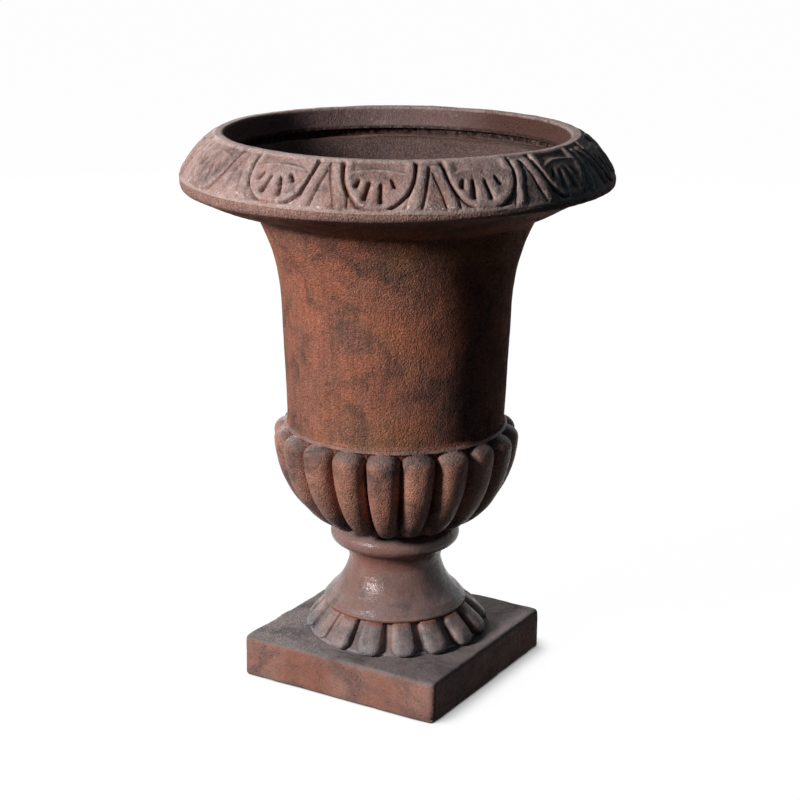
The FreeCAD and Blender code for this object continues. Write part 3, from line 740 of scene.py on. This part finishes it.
def build_foot_ring():
    """Ring of petals between the plinth and the stem."""
    outline = Outline(FOOT_BORE, PLINTH_TOP - FOOT_SPIGOT_DEPTH)
    outline.line(FOOT_SPIGOT, PLINTH_TOP - FOOT_SPIGOT_DEPTH, skin=0)
    outline.line(FOOT_SPIGOT, PLINTH_TOP, skin=0)
    outline.line(FOOT_BASE, PLINTH_TOP, skin=0)
    outline.line(FOOT_BASE, PLINTH_TOP + FOOT_BASE_EDGE, FINE, name="petals")
    outline.line(FOOT_SLOPE_TOP, FOOT_TOP, FINE, name="petals")
    outline.line(FOOT_BED[1], FOOT_TOP, skin=0)
    outline.line(FOOT_BED[1], FOOT_TOP - BED_DEPTH, skin=0)
    outline.line(FOOT_BED[0], FOOT_TOP - BED_DEPTH, skin=0)
    outline.line(FOOT_BED[0], FOOT_TOP, skin=0)
    outline.line(FOOT_BORE, FOOT_TOP, skin=0)
    outline.line(FOOT_BORE, PLINTH_TOP - FOOT_SPIGOT_DEPTH, skin=0).close()
    angles = even_angles(PETALS * PETAL_STEPS)
    number, across = rib_places(angles, PETALS, PETAL_PHASE)
    rows, along = outline.span("petals")
    rng = np.random.default_rng(21)
    size = rng.uniform(*PETAL_SIZE_SHARES, PETALS)[number] * (1 - PETAL_WEAR_SHARE * worn(angles))
    across = across + rng.uniform(-PETAL_STRAY_SHARE, PETAL_STRAY_SHARE, PETALS)[number]
    tip = rib_rise(np.clip(1 - along / PETAL_TIP, 0, 1), 2)
    narrow = PETAL_HALF_SHARE * rib_rise(np.clip(0.98 - along / PETAL_CORNER, 0, 1), 2.4)
    swell = np.interp(along / along[-1], *PETAL_SWELL_SHARES)
    section = rib_rise(across / narrow[:, None], PETAL_FULLNESS)
    petal = (PETAL_RELIEF + PETAL_SINK) * (tip * swell)[:, None] * section * size
    lift = np.zeros((len(outline.points), len(angles)))
    lift[rows] = petal - PETAL_SINK * step_up(along, 0, PETAL_SINK_RUN)[:, None]
    points = turned(outline, angles, lift, 22)
    points[..., 2] = np.clip(points[..., 2], None, FOOT_TOP)
    outer = np.hypot(points[..., 0], points[..., 1]) > FOOT_SPIGOT + 1
    points[..., 2] = np.where(outer, np.maximum(points[..., 2], PLINTH_TOP), points[..., 2])
    ring_piece("foot_ring_cast", points, "pedestal", "foot_ring", FOOT_CLAY)


def build_socle():
    """Trumpet-shaped stem with its waist and the round collar that carries the vase."""
    collar_bottom = SOCLE_TOP - 2 * COLLAR_ROLL
    outline = Outline(TONGUE_INNER, FOOT_TOP - TONGUE_DEPTH)
    outline.line(TONGUE_OUTER, FOOT_TOP - TONGUE_DEPTH, skin=0)
    outline.line(TONGUE_OUTER, FOOT_TOP, skin=0)
    outline.line(SOCLE_BASE - SOCLE_BEVEL, FOOT_TOP, skin=0)
    outline.line(SOCLE_BASE, FOOT_TOP + SOCLE_BEVEL, FINE)
    outline.line(SOCLE_BASE, FOOT_TOP + SOCLE_BASE_EDGE - SOCLE_BEVEL, FINE)
    outline.arc(SOCLE_BASE - SOCLE_BEVEL, FOOT_TOP + SOCLE_BASE_EDGE, 2 * SOCLE_BEVEL, FINE)
    outline.line(SKIRT[0], FOOT_TOP + SKIRT[1], FINE)
    outline.arc(WAIST[0], FOOT_TOP + WAIST[1], -TRUMPET_BEND, MEDIUM)
    outline.arc(NECK[0], FOOT_TOP + NECK[1], -NECK_BEND, MEDIUM)
    outline.line(COLLAR_INNER, collar_bottom, FINE)
    outline.arc(COLLAR_INNER + COLLAR_ROLL, collar_bottom + COLLAR_ROLL, COLLAR_ROLL, FINE)
    outline.arc(COLLAR_INNER, SOCLE_TOP, COLLAR_ROLL, FINE)
    outline.line(SOCKET, SOCLE_TOP, skin=0)
    outline.line(SOCKET, SOCLE_TOP - SOCKET_DEPTH, skin=0)
    outline.line(TONGUE_INNER, FOOT_TOP + THROAT_RISE, skin=0)
    outline.line(TONGUE_INNER, FOOT_TOP - TONGUE_DEPTH, skin=0).close()
    angles = even_angles(SOCLE_COLUMNS)
    points = turned(outline, angles, np.zeros((len(outline.points), len(angles))), 31)
    ring_piece("socle_cast", points, "pedestal", "socle", SOCLE_CLAY)


def build_bowl():
    """Cup with its ring of gadroons, the drain spigot below and the bead on top."""
    outline = Outline(DRAIN, BOWL_SEAT - SPIGOT_LENGTH)
    outline.line(SPIGOT, BOWL_SEAT - SPIGOT_LENGTH, skin=0)
    outline.line(SPIGOT, BOWL_SEAT, skin=0)
    outline.line(BOWL_FOOT, BOWL_SEAT, skin=0)
    outline.line(BOWL_TURN[0], BOWL_SEAT + BOWL_TURN[1], PLAIN)
    outline.arc(BOWL_SHOULDER, BOWL_TOP - SHOULDER_DROP, BOWL_BEND, MEDIUM, name="lobes")
    outline.line(BOWL_SHOULDER, BOWL_TOP - BEAD_DROP, FINE, name="lobes")
    outline.line(BEAD, BOWL_TOP, FINE)
    outline.line(DRUM_BED[1], BOWL_TOP, skin=0)
    outline.line(DRUM_BED[1], BOWL_TOP - BED_DEPTH, skin=0)
    outline.line(DRUM_BED[0], BOWL_TOP - BED_DEPTH, skin=0)
    outline.line(DRUM_BED[0], BOWL_TOP, skin=0)
    outline.line(BOWL_MOUTH, BOWL_TOP, skin=0)
    outline.line(BOWL_MOUTH, BOWL_TOP - MOUTH_DEPTH, skin=0)
    outline.arc(FLOOR_EDGE[0], BOWL_SEAT + FLOOR_EDGE[1], -HOLLOW_BEND, COARSE)
    fall = (FLOOR_EDGE[0] - DRAIN) * FLOOR_FALL_SHARE
    outline.line(DRAIN, BOWL_SEAT + FLOOR_EDGE[1] - fall)
    outline.line(DRAIN, BOWL_SEAT - SPIGOT_LENGTH, skin=0).close()
    angles = ribbed_angles(LOBES, LOBE_PHASE, LOBE_STEPS)
    number, across = rib_places(angles, LOBES, LOBE_PHASE)
    rows, along = outline.span("lobes")
    size = np.random.default_rng(41).uniform(*LOBE_SIZE_SHARES, LOBES)[number]
    kept = 1 - LOBE_WEAR_SHARE * worn(angles)
    taper = np.sqrt(1 - LOBE_TAPER_SHARE * np.clip(1 - along / LOBE_TAPER, 0, 1) ** 2)[:, None]
    foot = np.clip(1 - along / LOBE_FOOT, 0, 1)
    head = np.clip(1 - (along[-1] - LOBE_HEAD_DROP - along) / LOBE_HEAD, 0, None)
    ends = (foot ** 2 + head ** 2)[:, None]
    section = np.sqrt(np.clip(1 - np.abs(across / LOBE_HALF_SHARE) ** LOBE_FULLNESS - ends, 0, 1))
    shallow = np.clip(1 - (along[-1] - along) / (2 * LOBE_HEAD), 0, 1)
    deep = np.sqrt(np.clip(1 - foot ** 2 - shallow ** 2, 0, 1))[:, None]
    sink = LOBE_SINK * taper * deep * kept
    lift = np.zeros((len(outline.points), len(angles)))
    lift[rows] = (LOBE_RELIEF * taper * size + sink) * section - sink
    points = turned(outline, angles, lift, 42)
    ring_piece("bowl_cast", points, "vase", "bowl", BOWL_CLAY)


def build_drum():
    """Plain tall shell that flares into the flange and the ledge under the rim."""
    outline = Outline(DRUM_BORE, BOWL_TOP - DRUM_TONGUE_DEPTH)
    outline.line(DRUM_TONGUE, BOWL_TOP - DRUM_TONGUE_DEPTH, skin=0)
    outline.line(DRUM_TONGUE, BOWL_TOP, skin=0)
    for out, rise in DRUM_FOOT_CURL:
        outline.line(DRUM_FOOT + out, BOWL_TOP + rise, FINE, skin=min(rise, 1))
    outline.line(FLARE[0], DRUM_TOP - FLARE[1], PLAIN)
    outline.arc(DRUM_NECK[0] - COVE_START[0], DRUM_TOP - DRUM_NECK[1] - COVE_START[1], -FLARE_BEND, PLAIN)
    outline.arc(DRUM_NECK[0] + COVE_END[0], DRUM_TOP - DRUM_NECK[1] + COVE_END[1], -COVE_BEND, FINE)
    outline.line(FLANGE - FLANGE_ROLL_START[0], SHELF - FLANGE_ROLL_START[1], PLAIN, name="underside")
    outline.arc(FLANGE, SHELF - FLANGE_EDGE, FLANGE_ROLL, FINE, name="underside")
    outline.line(FLANGE, SHELF - FLANGE_CHAMFER, FINE)
    outline.line(FLANGE - FLANGE_CHAMFER, SHELF, FINE)
    outline.line(RIM_BED[1], SHELF, skin=0)
    outline.line(RIM_BED[1], SHELF - BED_DEPTH, skin=0)
    outline.line(RIM_BED[0], SHELF - BED_DEPTH, skin=0)
    outline.line(RIM_BED[0], SHELF, skin=0)
    outline.line(LEDGE_STEP, SHELF, skin=0)
    outline.line(LEDGE_STEP, DRUM_TOP, skin=0)
    outline.line(RIM_FOOT + JOINT_UNDERCUT, DRUM_TOP, skin=0)
    outline.line(RIM_FOOT + JOINT_UNDERCUT, DRUM_TOP - JOINT_DEPTH, FINE)
    outline.line(LEDGE_INNER + LEDGE_ROUND, DRUM_TOP - JOINT_DEPTH, FINE, LEDGE_SKIN)
    ledge_end = (LEDGE_INNER - LEDGE_ROUND / 2, DRUM_TOP - JOINT_DEPTH - LEDGE_ROUND)
    outline.arc(*ledge_end, 2 * LEDGE_ROUND, FINE, LEDGE_SKIN)
    neck_inner = (DRUM_NECK[0] - DRUM_WALL, DRUM_TOP - DRUM_NECK[1] + DRUM_WALL / 2)
    outline.arc(*neck_inner, FUNNEL_BEND, DRUM_INNER_STEP)
    outline.arc(FLARE[0] - DRUM_WALL, DRUM_TOP - FLARE[1], FLARE_BEND + DRUM_WALL, DRUM_INNER_STEP)
    outline.line(DRUM_BORE, BOWL_TOP - DRUM_TONGUE_DEPTH, COARSE).close()
    angles = even_angles(DRUM_COLUMNS)
    rows, along = outline.span("underside")
    lift = np.zeros((len(outline.points), len(angles)))
    share = along / along[-1]
    belly = (step_up(share, 0.1, 0.55) * step_up(share, 1.0, 0.88))[:, None]
    facing = np.cos(np.radians(angles - UNDERSIDE_SIDE))
    lift[rows] = UNDERSIDE_SWELL * belly * np.clip(facing, -UNDERSIDE_FLAT_SHARE, 1)
    points = turned(outline, angles, lift, 51)
    ring_piece("drum_cast", points, "vase", "drum", DRUM_CLAY)


# Frieze: shields and slanted ribs in one unit of the carved band, degrees across and millimetres down
SHIELD_HALF = 9.6
SHIELD_TURN = 12.0
SHIELD_DEEP = 45.0
SHIELD_BORDER = 7.0
RIB_HALF = 1.75
RIB_LEAN = ((4.0, 1.5), (57.0, 5.0))
BROW_HALF = 7.0
BROW_PEAK = 13.0
BROW_FALL = 4.5
SLITS = (
    ((-4.9, 25.0), (-5.7, 32.0), 1.3),
    ((-2.2, 27.5), (-3.2, 45.0), 1.7),
    ((1.0, 27.5), (1.5, 46.0), 1.7),
    ((3.8, 24.5), (4.7, 32.0), 1.3),
)
FIELD_DEPTH = 2.0
MOAT_DEPTH = 2.3
TRENCH_DEPTH = 1.4
FRIEZE_WEAR_SHARE = 0.4
RECESS_DEPTHS = (0.6, 2.0)
BROW_THICK = 1.9
SLIT_DEPTHS = (3.0, 4.2)
# Hand-drawn wobble of the carving, degrees across and millimetres down, and its pitted skin
WOBBLE_ACROSS = 0.5
WOBBLE_DOWN = 1.4
WOBBLE_LUMP = 22
PITTING = 0.35
PITTING_LUMP = 6


def slit_depth(across, down, scale, start, end, half):
    """Drop-shaped slit from start to end: 1 along its floor, 0 on the clay beside it."""
    run = np.array([(end[0] - start[0]) * scale.mean(), end[1] - start[1]])
    away = np.stack([(across - start[0]) * scale, down - start[1]], axis=-1)
    share = np.clip((away @ run) / (run @ run), 0, 1)
    distance = np.linalg.norm(away - share[..., None] * run, axis=-1)
    width = half * (0.5 + 0.7 * np.sqrt(share))
    return step_up(distance, width * 1.4, width * 0.3) + 0.45 * step_up(distance, width * 3.6, width * 0.5)


def frieze(angles, radius, down):
    """Height of the carving over the round face of the rim, in millimetres."""
    rng = np.random.default_rng(61)
    unit = 360 / FRIEZE_UNITS
    number, across = rib_places(angles, FRIEZE_UNITS, FRIEZE_PHASE)
    length = down.max()
    across = np.broadcast_to(across * unit / 2, (len(down), len(angles)))
    down = np.broadcast_to(down[:, None], across.shape)
    scale = np.broadcast_to(np.radians(radius)[:, None], across.shape)
    round_place = np.stack([np.cos(np.radians(angles)), np.sin(np.radians(angles))], axis=-1) * FLANGE
    place = np.concatenate([np.broadcast_to(round_place, (*across.shape, 2)), down[..., None]], axis=-1)
    frame_fade = step_up(down, 1.0, 4.5) * step_up(down, length - 1.0, length - 4.0)
    across = across + WOBBLE_ACROSS * noise(place, WOBBLE_LUMP, 62)
    down = down + WOBBLE_DOWN * noise(place, WOBBLE_LUMP, 63)

    side = across * scale
    fall = np.maximum(0, down - SHIELD_TURN)
    half = SHIELD_HALF * scale
    size = np.sqrt((side / half) ** 2 + (fall / SHIELD_DEEP) ** 2)
    steep = np.sqrt((side / half ** 2) ** 2 + (fall / SHIELD_DEEP ** 2) ** 2)
    outside = (size - 1) * size / np.maximum(steep, 1e-6)

    middle = unit / 2 - np.abs(across)
    lean = np.interp(down, *zip(*RIB_LEAN))
    rib = np.abs(middle - lean) / RIB_HALF
    rib_edge = (rib - 1) * RIB_HALF * scale
    wedge_edge = (middle - lean + RIB_HALF) * scale

    shield = step_up(outside, 1.0, -1.4)
    ribs = np.sqrt(np.clip(1 - rib ** 2, 0, 1)) * step_up(down, 3, 9)
    wedge = step_up(wedge_edge, 0.6, -2.4) * 0.75
    bank = 0.6 * step_up(outside, 1, 7)
    height = FIELD_DEPTH * (np.maximum.reduce([shield, 1.5 * ribs, wedge, bank]) - 1)
    height -= MOAT_DEPTH * step_up(outside, -0.8, 0.7) * step_up(outside, 3.6, 1.0)
    trench = step_up(rib_edge, -1.0, 0.3) * step_up(rib_edge, 2.2, 0.4)
    height -= TRENCH_DEPTH * trench * np.where(middle < lean, 1.0, 0.8)

    inside = step_up(outside, -1, -4)
    height += 0.8 * step_up(outside, 0, -3) - 0.9 * step_up(outside, -SHIELD_BORDER + 2, -SHIELD_BORDER - 4)
    brow = BROW_PEAK + BROW_FALL * (across / BROW_HALF) ** 2 + rng.uniform(-1.5, 1.5, FRIEZE_UNITS)[number]
    width = step_up(np.abs(across), BROW_HALF + 0.8, BROW_HALF - 0.8)
    recess = step_up(down, 3, 6) * step_up(down - brow, -0.5, -3.5) * width
    height -= rng.uniform(*RECESS_DEPTHS, FRIEZE_UNITS)[number] * recess
    height += np.exp(-((down - brow - 0.8) / BROW_THICK) ** 2) * width * inside
    depth = rng.uniform(*SLIT_DEPTHS, FRIEZE_UNITS)[number]
    for start, end, half_width in SLITS:
        shift = rng.uniform(-0.4, 0.4, FRIEZE_UNITS)[number]
        stretch = rng.uniform(-1.5, 1.5, FRIEZE_UNITS)[number]
        height -= depth * slit_depth(across - shift, down - stretch, scale, start, end, half_width) * inside
    height += PITTING * noise(place, PITTING_LUMP, 64)
    return height * frame_fade * (1 - FRIEZE_WEAR_SHARE * worn(angles))


def build_rim():
    """Coping with the carved band, the lip and the inner wall."""
    outline = Outline(RIM_FOOT, DRUM_TOP)
    outline.line(RIM_STEP, DRUM_TOP, skin=0)
    outline.line(RIM_STEP, SHELF, skin=0)
    outline.line(FLANGE - FLANGE_CHAMFER, SHELF, skin=0)
    outline.line(FLANGE, SHELF + FLANGE_CHAMFER, FINE)
    outline.line(FLANGE, SHELF + FRIEZE_EDGE, FINE)
    outline.arc(LIP_OUTER, RIM_TOP, FRIEZE_BEND, FRIEZE_STEP, name="frieze")
    outline.line(RIM_INNER + LIP_ROUND, RIM_TOP, FINE)
    outline.arc(RIM_INNER, RIM_TOP - LIP_ROUND, LIP_ROUND, LIP_STEP)
    outline.line(RIM_FOOT, DRUM_TOP, MEDIUM, RIM_WALL_SKIN).close()
    angles = even_angles(FRIEZE_UNITS * FRIEZE_STEPS)
    rows, along = outline.span("frieze")
    lift = np.zeros((len(outline.points), len(angles)))
    lift[rows] = frieze(angles, outline.points[rows, 0], along[-1] - along)
    points = turned(outline, angles, lift, 71)
    ring_piece("rim_cast", points, "vase", "rim", RIM_CLAY)


def dress_rings():
    """Materials of the bedding rings and the gasket, which keep their CAD shape."""
    for name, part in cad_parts.items():
        if name.endswith("_bedding") or name == "seat_gasket":
            material = RUBBER if name == "seat_gasket" else MORTAR
            for held in part.material_slots:
                held.material = material


# Camera in the part's frame, in metres and radians
CAMERA_AZIMUTH = math.radians(31.07)
CAMERA_BACK = 1.9631
CAMERA_SIDE = 0.0043
CAMERA_HEIGHT = 0.8947
CAMERA_PITCH = 0.2910
CAMERA_ROLL = 0.0074
CAMERA_LENS = 84.9
SENSOR = 36.0


def from_camera(azimuth, elevation):
    """Direction in the part's frame, in degrees: azimuth 0 is the camera's side, positive to its right."""
    turn = math.radians(azimuth) + CAMERA_AZIMUTH
    rise = math.radians(elevation)
    return Vector((math.sin(turn) * math.cos(rise), -math.cos(turn) * math.cos(rise), math.sin(rise)))


def aim(thing, ahead):
    thing.rotation_mode = "QUATERNION"
    thing.rotation_quaternion = ahead.to_track_quat("-Z", "Y")


def add_camera():
    data = bpy.data.cameras.new("camera")
    data.lens = CAMERA_LENS
    data.sensor_width = SENSOR
    camera = bpy.data.objects.new("camera", data)
    bpy.context.scene.collection.objects.link(camera)
    camera.location = (from_camera(0, 0) * CAMERA_BACK + from_camera(90, 0) * CAMERA_SIDE
                       + Vector((0, 0, CAMERA_HEIGHT)))
    aim(camera, -from_camera(0, math.degrees(CAMERA_PITCH)))
    camera.rotation_quaternion = camera.rotation_quaternion @ Quaternion((0, 0, 1), CAMERA_ROLL)
    bpy.context.scene.camera = camera


# Lamps: azimuth and elevation in degrees, distance and size in metres, power in watts
TARGET = Vector((0, 0, 0.35))
KEY = {"azimuth": -54, "elevation": 23.5, "distance": 3.0, "size": 0.6, "power": 112}
BACK = {"azimuth": -160, "elevation": 20, "distance": 3.0, "size": 1.4, "power": 50}
FILL_SIDE = (-60, 50)
FILL_COLOUR = (0.28, 0.7, 1.0, 1.0)
FILL_STRENGTH = 0.07
FILL_LEAST = 0.4 * FILL_STRENGTH
WHITE = (1.0, 1.0, 1.0, 1.0)


def add_lamp(name, azimuth, elevation, distance, size, power):
    data = bpy.data.lights.new(name, "AREA")
    data.energy = power
    data.size = size
    lamp = bpy.data.objects.new(name, data)
    bpy.context.scene.collection.objects.link(lamp)
    way = from_camera(azimuth, elevation)
    lamp.location = TARGET + way * distance
    aim(lamp, -way)


def shown_rays(tree):
    """1 for rays that show the background: from the camera, by a reflection or through glass."""
    path = node(tree, "ShaderNodeLightPath").outputs
    return sums(tree, "MAXIMUM", path["Is Camera Ray"],
                sums(tree, "MAXIMUM", path["Is Glossy Ray"], path["Is Transmission Ray"]))


def add_world():
    """White surroundings, and a weak cool light that is strongest from one side."""
    world = bpy.data.worlds.new("studio")
    world.use_nodes = True
    tree = world.node_tree
    ways = node(tree, "ShaderNodeTexCoord").outputs["Generated"]
    inputs = {0: ways, 1: from_camera(*FILL_SIDE)}
    towards = node(tree, "ShaderNodeVectorMath", inputs, operation="DOT_PRODUCT")
    strength = between(tree, towards.outputs["Value"], -0.2, 1.0, FILL_LEAST, FILL_STRENGTH)
    dim = node(tree, "ShaderNodeBackground", {"Color": FILL_COLOUR, "Strength": strength})
    white = node(tree, "ShaderNodeBackground", {"Color": WHITE, "Strength": 1.0})
    mix = node(tree, "ShaderNodeMixShader", {0: shown_rays(tree), 1: dim.outputs[0], 2: white.outputs[0]})
    tree.links.new(mix.outputs[0], tree.nodes["World Output"].inputs["Surface"])
    bpy.context.scene.world = world


FLOOR_HALF = 12.0
SHADE_REACH = 0.03
SHADE_ELEVATION = 45
FLOOR_SHADE = 0.12
FLOOR_GLOW = 0.985
FLOOR_MATT = (0.03, 0.03, 0.03, 1.0)


def add_floor():
    """White floor whose glow is dimmed by occlusion towards the key: a painted soft shadow at the foot of the
    plinth.
    """
    mesh = bpy.data.meshes.new("floor")
    corners = [(-FLOOR_HALF, -FLOOR_HALF, 0), (FLOOR_HALF, -FLOOR_HALF, 0),
               (FLOOR_HALF, FLOOR_HALF, 0), (-FLOOR_HALF, FLOOR_HALF, 0)]
    mesh.from_pydata(corners, [], [(0, 1, 2, 3)])
    floor = bpy.data.objects.new("floor", mesh)
    bpy.context.scene.collection.objects.link(floor)
    material = bpy.data.materials.new("floor")
    material.use_nodes = True
    tree = material.node_tree
    tree.nodes.remove(tree.nodes["Principled BSDF"])
    towards_key = from_camera(KEY["azimuth"], SHADE_ELEVATION)
    normal = node(tree, "ShaderNodeCombineXYZ", {0: towards_key.x, 1: towards_key.y, 2: towards_key.z})
    # Painted shadow: occlusion within a short reach, looked for towards the key, dims the glow
    shade = node(tree, "ShaderNodeAmbientOcclusion", {"Distance": SHADE_REACH, "Normal": normal.outputs[0]},
                 samples=16).outputs["AO"]
    glow = sums(tree, "MULTIPLY", between(tree, shade, 0.2, 0.9, FLOOR_SHADE, FLOOR_GLOW), shown_rays(tree))
    light = node(tree, "ShaderNodeEmission", {"Color": WHITE, "Strength": glow})
    matt = node(tree, "ShaderNodeBsdfDiffuse", {"Color": FLOOR_MATT})
    both = node(tree, "ShaderNodeAddShader", {0: light.outputs[0], 1: matt.outputs[0]})
    tree.links.new(both.outputs[0], tree.nodes["Material Output"].inputs["Surface"])
    mesh.materials.append(material)


build_plinth()
build_foot_ring()
build_socle()
build_bowl()
build_drum()
build_rim()
dress_rings()
add_camera()
add_lamp("key", **KEY)
add_lamp("back", **BACK)
add_world()
add_floor()
bpy.context.scene.view_settings.view_transform = "Standard"
